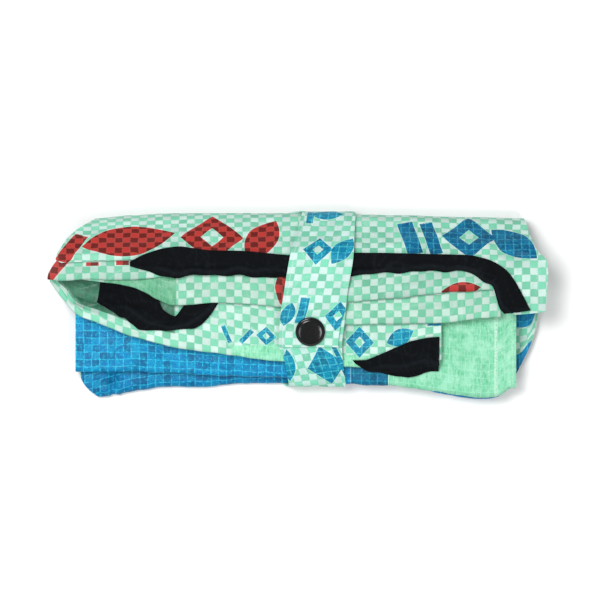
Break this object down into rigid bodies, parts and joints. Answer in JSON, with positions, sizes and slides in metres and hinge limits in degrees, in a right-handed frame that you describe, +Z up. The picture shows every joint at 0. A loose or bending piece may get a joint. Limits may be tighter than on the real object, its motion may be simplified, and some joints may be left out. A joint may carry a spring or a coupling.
{
  "type": "rolled shopping bag",
  "caption": "Shopping bag of woven sack cloth, folded flat and rolled up, held shut by a cloth strap with a snap, with black tape handles.",
  "frame": {"origin": "middle of the underside, on the surface the bag lies on", "axes": "+X along the bag's length to the viewer's right, +Y away from the viewer, +Z up"},
  "size_m": [0.3484, 0.132, 0.0443],
  "materials": {
    "sack_check": "woven plastic tape, low sheen",
    "sack_blue": "printed woven plastic tape, low sheen",
    "handle_tape": "matt woven cotton",
    "snap_plastic": "gloss"
  },
  "bodies": {
    "root": {"back_panel": "sack_check", "base_panel": "sack_blue", "front_panel": "sack_check", "handle_top": "handle_tape", "handle_mouth_left": "handle_tape", "handle_mouth_right": "handle_tape", "closure_strap": "sack_check", "snap_cap": "snap_plastic"}
  },
  "joints": []
}
